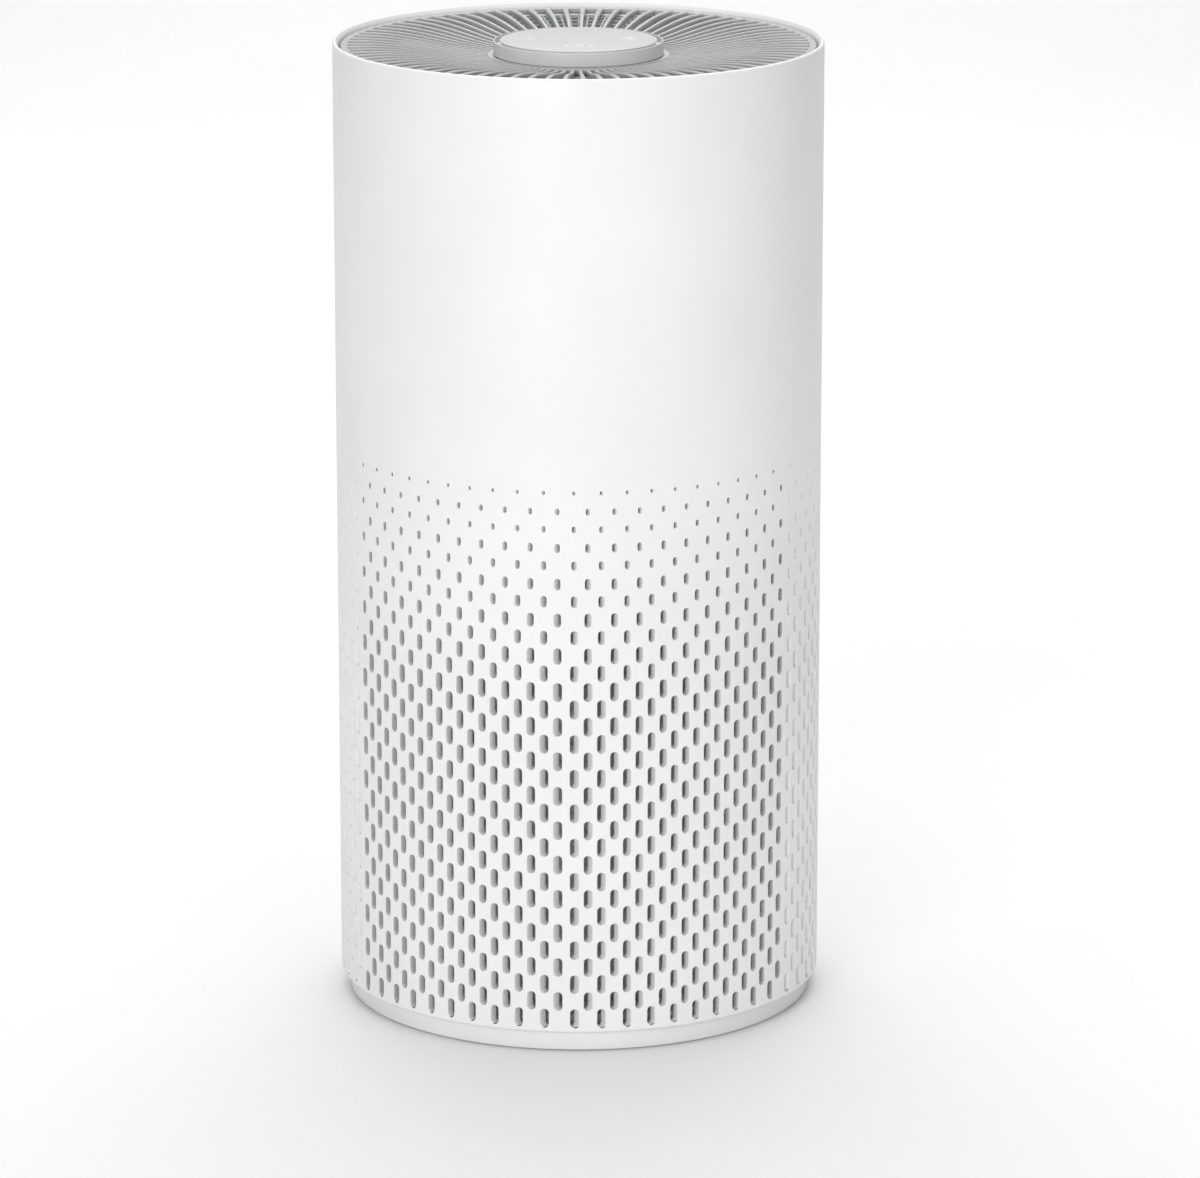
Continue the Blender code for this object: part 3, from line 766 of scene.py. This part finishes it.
def make_shell():
    """The one-piece shell: perforated wall, plain wall, lip, ledge, foot and the inlet window."""
    shell = Shell()
    outer, inner = perforate(shell)
    lines = range(SECTORS * COLUMNS)
    inside = SHELL_R - SHELL_WALL

    angles = [TURN * step / PLAIN_STEPS for step in range(PLAIN_STEPS)]
    arc = [i * math.pi / 8 for i in range(1, 5)]
    outline = [(SHELL_R, z) for z in (268, WINDOW_LOW, WINDOW_HIGH, 310, 350, 390, 420, HEIGHT - LIP)]
    outline += [(SHELL_R - LIP + LIP * math.cos(a), HEIGHT - LIP + LIP * math.sin(a)) for a in arc]
    outline += [
        (inside + LIP_SLOPE * share, HEIGHT - LIP_DROP + LIP_DROP * share**LIP_BULGE)
        for share in (1, 0.75, 0.5, 0.25, 0)
    ]
    outline += [(inside, z) for z in (420, 390, 350, 310, WINDOW_HIGH, WINDOW_LOW, LEDGE_TOP)]
    outline += [(LEDGE_R, LEDGE_TOP), (LEDGE_R, LEDGE_TOP - 1.5)]
    rings = [turned_ring(shell, angles, r, z) for r, z in outline]
    middle = PLAIN_STEPS // 2
    window = range(middle - WINDOW_HALF_STEPS, middle + WINDOW_HALF_STEPS)
    for index, (start, end) in enumerate(outline_normals(outline)):
        holed = {outline[index][1], outline[index + 1][1]} == {WINDOW_LOW, WINDOW_HIGH}
        shell.strip(
            rings[index], rings[index + 1], turned_normals(angles, start), turned_normals(angles, end),
            window if holed else (),
        )
    rows = {(r, z): ring for (r, z), ring in zip(outline, rings)}
    edge = [rows[radius, z] for radius in (SHELL_R, inside) for z in (WINDOW_LOW, WINDOW_HIGH)]
    for step in window:
        following = step + 1
        shell.face((edge[0][step], edge[0][following], edge[2][following], edge[2][step]), [(0, 0, 1)] * 4)
        shell.face((edge[1][step], edge[3][step], edge[3][following], edge[1][following]), [(0, 0, -1)] * 4)
    for step, side in ((window[0], -1), (window[-1] + 1, 1)):
        corners = (edge[0][step], edge[1][step], edge[3][step], edge[2][step])
        normal = (side * 1.0, 0.0, 0.0)
        shell.face(corners[::-1] if side < 0 else corners, [normal] * 4)

    outer_angles = [line_angle(line, SHELL_R) for line in lines]
    inner_angles = [line_angle(line, GRID_R) for line in lines]
    outer_top = [outer[line, LINES_UP][0] for line in lines]
    inner_top = [inner[line, LINES_UP][0] for line in lines]
    band_between(
        shell, outer_top, outer_angles, (SHELL_R, outer_level(LINES_UP)), rings[0], angles, outline[0]
    )
    band_between(
        shell, rings[-1], angles, outline[-1], inner_top, inner_angles, (GRID_R, inner_level(LINES_UP))
    )

    foot = [(GRID_R, FOOT_POCKET), (inside, FOOT_POCKET)]
    foot += [(inside, SHELL_LOW + FOOT_EASE), (inside + FOOT_EASE, SHELL_LOW)]
    foot += [(SHELL_R - LIP + LIP * math.sin(a), SHELL_LOW + LIP - LIP * math.cos(a)) for a in [0, *arc]]
    foot += [(SHELL_R, outer_level(-2))]
    foot_rings = [[inner[line, -2][0] for line in lines]]
    foot_rings += [turned_ring(shell, outer_angles, r, z) for r, z in foot[1:-1]]
    foot_rings += [[outer[line, -2][0] for line in lines]]
    for index, (start, end) in enumerate(outline_normals(foot)):
        shell.strip(
            foot_rings[index], foot_rings[index + 1],
            turned_normals(outer_angles, start), turned_normals(outer_angles, end),
        )

    mesh = bpy.data.meshes.new("perforated_shell")
    mesh.from_pydata((np.array(shell.points, float) * MM).tolist(), [], shell.faces)
    mesh.shade_smooth()
    mesh.normals_split_custom_set(shell.corners)
    mesh.materials.append(FINISH["shell_white"])
    made = bpy.data.objects.new("perforated_shell", mesh)
    bpy.context.scene.collection.objects.link(made)
    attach(made, "housing")
    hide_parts("outer_shell")


# ---------------------------------------------------------------- base


def make_base():
    """Base cover with its lugs and underside ribs, rubber feet and the foam ring."""
    collar_top = SHELL_LOW + 5.5
    profile = eased(
        [
            (0, 3), (100.9, 3), (100.9, 0.5), (BASE_R, 0.5),
            (BASE_R, SHELL_LOW - 0.5), (100.2, SHELL_LOW - 0.5),
            (100.2, collar_top), (97.8, collar_top), (97.8, 5), (0, 5),
        ],
        [0, 0.8, 0.4, 0.7, 0.5, 0.8, 0.5, 0.5, 1.2, 0],
    )
    parts = [lathe(profile, 144)]
    for angle in around(6):
        parts.append(rounded_box((4.6, 24.4, 2.4), (101.0, 0, SHELL_LOW + 4.2), 0.7, angle))
    for radius in (22, 60, 96):
        rib_outline = [(radius, 1.7), (radius + 1.6, 1.7), (radius + 1.6, 3.4), (radius, 3.4)]
        parts.append(lathe(eased(rib_outline, 0.3, 2)))
    for angle in around(12, 15):
        parts.append(rounded_box((34, 1.6, 1.6), (41.5, 0, 2.5), 0.3, angle))
    for angle in around(24, 7.5):
        parts.append(rounded_box((4.4, 1.2, 3.4), (95.6, 0, 6.4), 0.3, angle))
    piece("base_cover_moulding", joined(*parts), "base_white", "base", ["base_cover"])

    foot = eased([(0, 0), (8.2, 0), (9, 0.9), (9, 2.7), (0, 2.7)], [0, 0.5, 0.6, 0.2, 0])
    groove = [(0, 0.5), (3.4, 0.5), (3.8, 0.0), (5.2, 0.0), (5.6, 0.5), (6.2, 0.5), (6.6, 0.0)]
    foot = groove + foot[1:]
    for number, angle in enumerate(around(4, 45), 1):
        turned_foot = lathe(foot, 48, polar(84, angle))
        piece(f"rubber_foot_{number}", turned_foot, "foot_rubber", "base", [f"foot_pad_{number}"])

    ring = eased([(62, 5.3), (92, 5.3), (92, 9.8), (62, 9.8)], 1.4, 4)
    piece("base_seal_foam", lathe(ring, 120), "seal_foam", "base", ["base_foam_ring"])


# ---------------------------------------------------------------- filter


def make_filter():
    """Drum filter: caps, fine pleats, pre-filter fleece in its net, carbon core, pull ribbon and gasket."""
    ends = (("lower", "filter_lower_cap", 10.2, 1), ("upper", "filter_upper_cap", 255.8, -1))
    for name, node, face, way in ends:
        profile = [(49, 0), (97, 0), (97, 9.8), (95.6, 9.8), (95.6, 3), (50.4, 3), (50.4, 9.8), (49, 9.8)]
        profile = eased([(r, face + way * z) for r, z in profile], [0.6, 1.6, 0.4, 0.4, 0.8, 0.8, 0.4, 0.4])
        rims = [lathe(profile, 144)]
        for angle in around(36):
            rims.append(rounded_box((1.0, 2.4, 7.4), (96.95, 0, face + way * 5.6), 0.35, angle))
        piece(f"filter_cap_{name}", joined(*rims), "inner_white", "filter", [node])

    folds, low, high = 132, 13.5, 252.5
    outer, inner = [], []
    for fold in range(folds):
        for share, radius in PLEAT_FOLD:
            angle = TURN * (fold + share) / folds
            thin = 1.6 if radius > 75 else -0.1
            outer.append(polar(radius, angle))
            inner.append(polar(radius - 1.0 - thin, angle))
    count = len(outer)
    points = [(*p, z) for z in (low, high) for ring in (outer, inner) for p in ring]
    faces = []
    for step in range(count):
        after = (step + 1) % count
        a, b = step, after
        faces.append((a, b, 2 * count + b, 2 * count + a))
        faces.append((count + b, count + a, 3 * count + a, 3 * count + b))
        faces.append((b, a, count + a, count + b))
        faces.append((2 * count + a, 2 * count + b, 3 * count + b, 3 * count + a))
    piece("pleated_paper", (points, faces), "filter_paper", "filter", ["hepa_pleats"], 50)

    sleeve = lathe([(93.4, low), (94.0, low), (94.0, high), (93.4, high)], 144)
    net = [sleeve]
    for row in range(60):
        net.append(tube(ring_path(94.35, low + 1.5 + row * 4.0, 120), 0.42, 4, True))
    for angle in around(120):
        path = [polar(94.3, angle, z) for z in (low, high)]
        net.append(tube(path, 0.45, 4))
    piece("prefilter_net_sleeve", joined(*net), "prefilter_net", "filter", ["prefilter_mesh"], 50)

    core = [(50.8, low), (55.5, low), (55.5, high), (50.8, high)]
    piece("carbon_sleeve", lathe(eased(core, 0.5, 2), 120), "carbon", "filter", ["carbon_core"])

    steps, half_width, half_length = 28, 10.0, 57.0
    sections = []
    for step in range(steps + 1):
        x = -half_length + 2 * half_length * step / steps
        wave = 0.10 * math.sin(step * 1.1)
        sections.append([
            (x, -half_width, 8.95 + wave), (x, half_width, 8.95 - wave),
            (x, half_width, 9.6 - wave), (x, 0, 9.65), (x, -half_width, 9.6 + wave),
        ])
    ribbon = [loft(sections)]
    for side in (-1, 1):
        for row in range(3):
            ribbon.append(rounded_box((0.7, 17, 0.5), (side * (53.5 - row * 2.2), 0, 9.6), 0.15))
    piece("pull_ribbon", joined(*ribbon), "ribbon", "filter", ["filter_pull_tab"])

    ring = eased([(62, 256.1), (90, 256.1), (90, 262.9), (62, 262.9)], 1.8, 4)
    piece("top_seal_foam", lathe(ring, 120), "seal_foam", "filter", ["filter_top_gasket"])


# ---------------------------------------------------------------- air path


def swept_vane(inner, outer, low, high, thickness, start, sweep, lean=0.0, steps=10, power=1.0):
    """One upright vane that curves by sweep radians on its way out. lean turns its top edge."""
    sections = []
    for step in range(steps + 1):
        share = step / steps
        radius = inner + (outer - inner) * share
        angle = start + sweep * share**power
        half = thickness / 2 / radius
        sections.append([
            polar(radius, angle - half, low), polar(radius, angle + half, low),
            polar(radius, angle + lean + half * 0.8, high), polar(radius, angle + lean - half * 0.8, high),
        ])
    return loft(sections)


def make_air_path():
    """Deck, finger guard, fan housing, diffuser, duct and outlet screen."""
    floor = 263.2
    deck = eased(
        [
            (60, floor), (107.2, floor), (107.2, floor + 3), (66, floor + 3),
            (63.2, floor + 4.8), (62, floor + 8.4), (60, floor + 8.4),
        ],
        [1.2, 0.4, 0.4, 0.8, 1.2, 0.5, 0.5],
    )
    piece("deck_moulding", lathe(deck, 144), "inner_white", "housing", ["fan_deck"])

    guard = [tube(ring_path(radius, 265.1, 96), 1.0, 8, True) for radius in (7, 16.8, 27, 37.2, 47.4, 58.0)]
    for angle in around(6):
        guard.append(rounded_box((52, 2.0, 1.7), (32.5, 0, 265.1), 0.4, angle))
    piece("finger_guard", joined(*guard), "inner_white", "housing", ["inlet_guard"])

    wall = eased([(86, 266.5), (97, 266.5), (97, 268.5), (88, 268.5), (88, 358), (86, 358)], 0.5, 2)
    piece("fan_chamber", lathe(wall, 144), "inner_white", "housing", ["fan_housing"])

    stator = [
        lathe(eased([(40.4, 322), (42.3, 322), (42.3, 352), (40.4, 352)], 0.5, 2), 120),
        lathe(eased([(83.2, 322), (85.2, 322), (85.2, 352), (83.2, 352)], 0.5, 2), 144),
    ]
    for angle in around(11):
        stator.append(swept_vane(41.4, 84.2, 322.4, 351.6, 1.8, angle, math.radians(18)))
    piece("diffuser_moulding", joined(*stator), "inner_white", "housing", ["diffuser"])

    duct = eased([(86, 358.3), (88, 358.3), (103, 425.5), (101, 425.5)], 0.5, 2)
    piece("duct_moulding", lathe(duct, 144), "inner_white", "housing", ["outlet_duct"])

    def mesh_top(radius):
        return dish(radius) - VANE_DEPTH - 0.1

    screen = []
    for inner, outer in ((34.6, 37.6), (98.5, 104.5)):
        top = mesh_top(inner)
        band = [(inner, top - 1), (outer, top - 1), (outer, top), (inner, top)]
        screen.append(lathe(eased(band, 0.3, 2), 144))
    for ring in range(MESH_HOOPS):
        radius = 38.5 + ring * MESH_PITCH
        top = mesh_top(radius)
        hoop = [(radius, top - 0.5), (radius + 0.8, top - 0.5), (radius + 0.6, top), (radius + 0.2, top)]
        screen.append(lathe(hoop, 120))
    for angle in around(MESH_WIRES):
        path = [polar(radius, angle, mesh_top(radius) - 0.7) for radius in np.linspace(37, 99.6, 12)]
        screen.append(tube(path, 0.45, 6))
    piece("outlet_mesh", joined(*screen), "inner_white", "housing", ["outlet_screen"])


def make_impeller():
    """Backward-curved impeller between its back plate and its shroud ring."""
    hub = eased(
        [
            (4.3, 299.3), (11, 299.3), (11, 308), (74.5, 308), (74.5, 310.5), (11, 310.5), (11, 314),
            (4.3, 314),
        ],
        [0.5, 1.2, 2.0, 0.6, 0.6, 1.0, 0.6, 0.4],
    )
    shroud = eased([(63.5, 272.5), (74.5, 272.5), (74.5, 275), (63.5, 275)], [1.0, 0.5, 0.5, 0.9])
    parts = [lathe(hub, 120), lathe(shroud, 120)]
    for angle in around(9):
        parts.append(swept_vane(38, 73.9, 274, 308.5, 1.7, angle, -math.radians(42), 0.0, 14, 1.2))
    piece("impeller_wheel", joined(*parts), "dark_plastic", "fan_rotor", ["impeller"])


# ---------------------------------------------------------------- top


def dish(radius):
    """Height of the vanes' upper edges: lowest at the hub, level again near the rim."""
    share = min(max((radius - HUB_OUTER) / (DISH_OUTER - HUB_OUTER), 0), 1)
    return HUB_TOP + (RIM_TOP - HUB_TOP) * share**2 * (3 - 2 * share)


def make_grille():
    """Outlet grille: hub ring, rim ring and radial vanes with rounded upper edges over a shallow dish."""
    ring_top = RIM_TOP - VANE_STEP
    rim = eased(
        [
            (RIM_INNER, RIM_TOP - VANE_DEPTH), (RIM_OUTER, RIM_TOP - VANE_DEPTH), (RIM_OUTER, ring_top),
            (RIM_INNER, ring_top),
        ],
        0.5,
    )
    hub = eased(
        [
            (HUB_INNER, HUB_TOP - VANE_DEPTH), (HUB_OUTER, HUB_TOP - VANE_DEPTH), (HUB_OUTER, HUB_TOP - 0.15),
            (HUB_INNER, HUB_TOP - 0.15),
        ],
        0.5,
    )
    parts = [lathe(rim, 180), lathe(hub, 120)]
    section = [
        (-0.65, -VANE_DEPTH), (-0.95, -0.6), (-0.65, -0.1), (0, 0), (0.65, -0.1), (0.95, -0.6),
        (0.65, -VANE_DEPTH),
    ]
    steps = 18
    for number in range(VANES):
        angle = VANE_START + TURN * number / VANES
        out, side = outward(angle), (math.cos(angle), math.sin(angle))
        sections = []
        for step in range(steps + 1):
            radius = VANE_FROM + (RIM_INNER - HUB_OUTER + VANE_EXTRA) * step / steps
            flare = 1 + FLARE * max(0, (radius - FLARE_START) / (RIM_INNER - FLARE_START))
            sections.append([
                (
                    radius * out[0] + x * flare * side[0], radius * out[1] + x * flare * side[1],
                    dish(radius) + z - 0.02,
                )
                for x, z in section
            ])
        parts.append(loft(sections))
    piece("vane_grille", joined(*parts), "grille_white", "housing", ["outlet_grille"], 40)
    seat = [
        (TRIM_INNER, HUB_TOP - 0.1), (HUB_OUTER, HUB_TOP - 0.1), (HUB_OUTER - 0.2, HUB_TOP + 0.3),
        (TRIM_INNER, HUB_TOP + 0.3),
    ]
    points, faces = lathe(eased(seat, 0.15, 2), 144)
    ears = []
    for x, y, z in points:
        angle = math.atan2(y, x)
        width = 0.15 + 1.03 * math.cos(angle) ** 4
        ears.append(polar(38.2 + (math.hypot(x, y) - TRIM_INNER) * width, angle, z))
    piece("hub_trim_ring", (ears, faces), "lens_grey", "housing")


def icon_ring(centre, radius, low, high, gap_deg=0.0, width=0.45, steps=28):
    """A flat ring, open at the back by gap_deg, as a mark on the puck."""
    start, span = math.radians(90 + gap_deg / 2), math.radians(360 - gap_deg)
    sections = []
    for step in range(steps + 1):
        angle = start + span * step / steps
        cos, sin = math.cos(angle), math.sin(angle)
        inner, outer = radius - width / 2, radius + width / 2
        sections.append([
            (centre[0] + r * cos, centre[1] + r * sin, z)
            for r, z in ((inner, low), (outer, low), (outer, high), (inner, high))
        ])
    return loft(sections)


def make_puck():
    """Control puck: housing, touch lens and its generic marks."""
    top = HEIGHT
    body = eased(
        [
            (0, 412), (25.6, 412), (25.6, HUB_TOP + 0.3), (PUCK_R, HUB_TOP + 0.3), (PUCK_R, top - 0.3),
            (37.5, top - 0.3), (37.5, 437.1), (23.6, 437.1), (23.6, 414), (0, 414),
        ],
        [0, 1.5, 0.6, 0.5, 0.3, 0.12, 0.4, 0.4, 0.6, 0],
    )
    piece("puck_body", lathe(body, 180), "puck_grey", "housing", ["puck_housing"])
    lens = eased([(0, 437.4), (33.9, 437.4), (35.1, top - 0.1), (0, top - 0.1)], [0, 0.2, 0.06, 0])
    piece("touch_lens", lathe(lens, 180), "lens_grey", "housing", ["puck_lens"])

    low, high = top - 0.15, top - 0.01
    depth, middle = high - low, (low + high) / 2
    marks = [icon_ring((0, -16.5), 2.3, low, high, 70), rounded_box((0.5, 2.6, depth), (0, -14.9, middle), 0.05)]
    for side in (-1, 1):
        marks.append(lathe([(0, low), (0.75, low), (0.75, high), (0, high)], 20, (side * 5.6, -16.5)))
        marks.append(rounded_box((1.9, 0.5, depth), (side * 5.6, -18.4, middle), 0.05))
    marks.append(icon_ring((-22.6, 4.4), 2.0, low, high, 110))
    for step in range(4):
        marks.append(lathe([(0, low), (0.42, low), (0.42, high), (0, high)], 16, (-25.4 + step * 1.9, 0.2)))
    marks.append(icon_ring((22.6, 4.4), 0.7, low, high, 0, 0.4, 20))
    for angle in around(3, 90):
        x, y = polar(1.75, angle)
        marks.append(lathe([(0, low), (0.8, low), (0.8, high), (0, high)], 20, (22.6 + x, 4.4 + y)))
    for step in range(4):
        place = (19.8 + step * 1.9, 0.2 + 0.25 * step, middle)
        marks.append(rounded_box((0.5, 0.9 + 0.5 * step, depth), place, 0.05))
    piece("touch_marks", joined(*marks), "light_guide", "housing")


# ---------------------------------------------------------------- power inlet


def figure_eight(half_width, radius, steps=10):
    """Outline of a two-pole inlet, as (x, z): two round ends with a waist."""
    made = []
    for side, start in ((1, -math.pi / 2), (-1, math.pi / 2)):
        for step in range(steps + 1):
            angle = start + math.pi * step / steps
            made.append((side * (half_width - radius) + radius * math.cos(angle), radius * math.sin(angle)))
    return made


def make_inlet():
    """Power inlet seen in the rear window: eased block, two-pole well and round pins."""
    front, well_floor, back = 109.0, 97.5, 94.5
    steps = 9
    well = figure_eight(8.6, 4.1, steps)
    block = []
    half = (11.0, 6.0)
    for x, z in well:
        angle = math.atan2(z / half[1], x / half[0])
        cos, sin = math.cos(angle), math.sin(angle)
        reach = 1 / max(abs(cos), abs(sin))
        block.append((half[0] * cos * reach, half[1] * sin * reach))
    eased_block = [(x * 0.975, z * 0.965) for x, z in block]
    mouth = [(x * 1.05, z * 1.09) for x, z in well]
    rings = [
        (block, back), (block, front - 0.5), (eased_block, front), (mouth, front), (well, front - 0.5),
        (well, well_floor),
    ]
    socket = loft([[(x, y, INLET_HEIGHT + z) for x, z in ring] for ring, y in rings])
    keep = []
    for side in (-1, 1):
        keep.append(rounded_box((2.6, 2.4, 15), (side * 12.7, 103.4, INLET_HEIGHT), 0.4))
        keep.append(rounded_box((22.4, 2.4, 1.4), (0, 103.4, INLET_HEIGHT + side * 6.7), 0.4))
    piece("inlet_socket", joined(socket, *keep), "dark_plastic", "housing", ["power_inlet"])
    for number, side in enumerate((-1, 1), 1):
        rings = []
        for y, radius in ((92.5, 1.15), (105.2, 1.15), (106.0, 0.95), (106.4, 0.6), (106.5, 0.1)):
            rings.append([
                (side * 4.3 + radius * math.cos(a), y, INLET_HEIGHT + radius * math.sin(a))
                for a in around(20)
            ])
        piece(f"inlet_contact_{number}", loft(rings), "pin_brass", "housing", [f"inlet_pin_{number}"])


# ---------------------------------------------------------------- carried-over CAD nodes


def finish_frame():
    """Gives every CAD node that still shows the finish of its own slot."""
    slots = {part["node"]: part["material_slot"] for part in frame["record"]["subparts"]}
    for name, node in frame["nodes"].items():
        if node.hide_render:
            continue
        node.data.materials.clear()
        node.data.materials.append(FINISH[slots[name]])
        node.data.shade_smooth()
        node.data.set_sharp_from_angle(angle=math.radians(32))


# ---------------------------------------------------------------- stage, light and camera


def plain(name, value, roughness):
    """Matt studio paper, with only a trace of mottling."""
    made = Nodes(name)
    made.join(
        Base_Color=made.tints(made.noise(2.5, 3), (value * 0.99,) * 3, (value * 1.01,) * 3),
        Normal=made.bump(made.noise(500, 2), 0.05, 0.2),
    )
    made.shader.inputs["Roughness"].default_value = roughness
    made.shader.inputs["Specular IOR Level"].default_value = 0.2
    return made.material


def make_stage():
    """A pale floor that curves up into a backdrop."""
    half, front, bend, radius, top = 9.0, -9.0, 2.4, 2.2, 7.0
    profile = [(front, 0.0), (-2.0, 0.0), (-0.6, 0.0), (0.6, 0.0), (bend, 0.0)]
    for step in range(1, 13):
        angle = math.pi / 2 * step / 12
        profile.append((bend + radius * math.sin(angle), radius - radius * math.cos(angle)))
    profile.append((bend + radius, top))
    points = [(x, y, z) for y, z in profile for x in (-half, half)]
    faces = [(2 * i, 2 * i + 1, 2 * i + 3, 2 * i + 2) for i in range(len(profile) - 1)]
    mesh = bpy.data.meshes.new("studio_floor")
    mesh.from_pydata(points, [], faces)
    mesh.shade_smooth()
    mesh.materials.append(plain("studio_paper", FLOOR_VALUE, 0.8))
    floor = bpy.data.objects.new("studio_floor", mesh)
    bpy.context.scene.collection.objects.link(floor)


def make_lights():
    for name, place, target, size, power in SOFTBOXES:
        lamp = bpy.data.lights.new(name, "AREA")
        lamp.shape = "RECTANGLE"
        lamp.size, lamp.size_y = size
        lamp.energy = power
        holder = bpy.data.objects.new(name, lamp)
        holder.location = place
        holder.rotation_euler = (Vector(target) - Vector(place)).to_track_quat("-Z", "Y").to_euler()
        bpy.context.scene.collection.objects.link(holder)
    world = bpy.data.worlds.new("studio")
    world.use_nodes = True
    world.node_tree.nodes["Background"].inputs["Color"].default_value = (1, 1, 1, 1)
    world.node_tree.nodes["Background"].inputs["Strength"].default_value = WORLD_STRENGTH
    bpy.context.scene.world = world
    bpy.context.scene.view_settings.view_transform = "Standard"


def make_camera():
    data = bpy.data.cameras.new("camera")
    data.sensor_width = 36
    data.lens = CAMERA_LENS
    data.clip_start, data.clip_end = 0.05, 60
    camera = bpy.data.objects.new("camera", data)
    camera.location = CAMERA_PLACE
    camera.rotation_euler = (CAMERA_TILT, 0, 0)
    bpy.context.scene.collection.objects.link(camera)
    bpy.context.scene.camera = camera


make_camera()
make_shell()
make_base()
make_filter()
make_air_path()
make_impeller()
make_grille()
make_puck()
make_inlet()
finish_frame()
make_stage()
make_lights()
